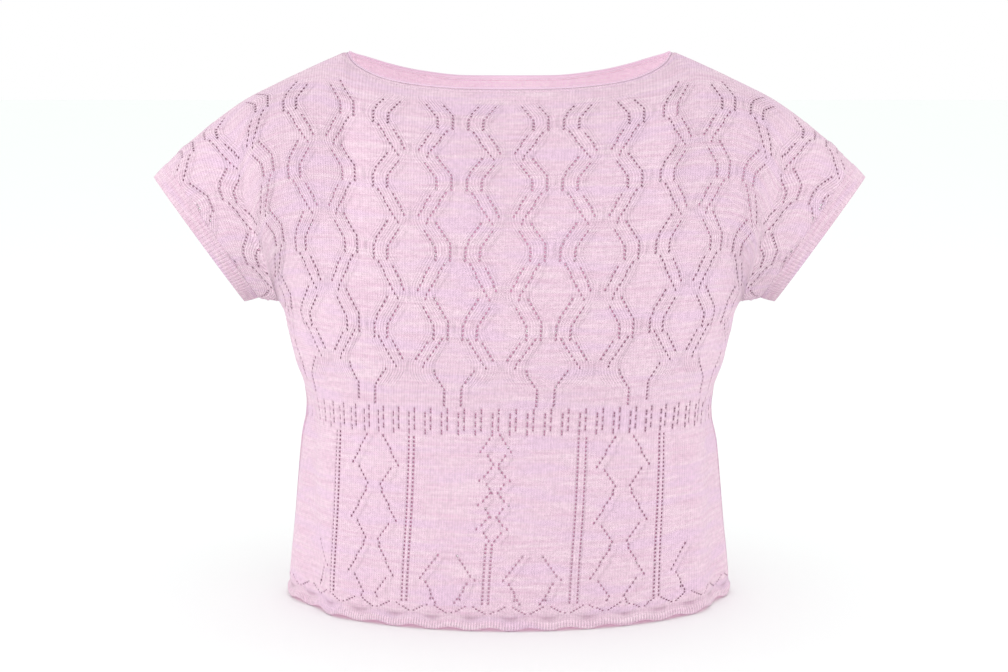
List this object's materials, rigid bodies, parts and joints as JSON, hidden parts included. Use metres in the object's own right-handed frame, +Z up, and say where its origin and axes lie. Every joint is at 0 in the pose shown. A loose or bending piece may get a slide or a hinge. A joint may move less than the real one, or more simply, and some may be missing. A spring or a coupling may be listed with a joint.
{
  "type": "short-sleeved lace-knit jumper",
  "caption": "Hollow knitted jumper with cap sleeves, a wide neck, ribbed cuffs and a scalloped lace hem, filled out as worn.",
  "frame": {"origin": "midway between the shoulders at the height of the neck opening's two corners, where a wearer's shoulders hold the jumper up", "axes": "+X towards the wearer's left, -Y out of the front, +Z up"},
  "size_m": [0.6424, 0.2514, 0.4976],
  "materials": {
    "lace_knit": "pale orchid pink cotton-blend yarn in stocking stitch with eyelet lace",
    "rib_knit": "the same yarn in fine one-by-one rib",
    "neck_edge": "the same yarn in a narrow rolled edge"
  },
  "bodies": {
    "root": {"front": "lace_knit", "back": "lace_knit", "cuff_left": "rib_knit", "cuff_right": "rib_knit", "neckband": "neck_edge"}
  },
  "joints": []
}
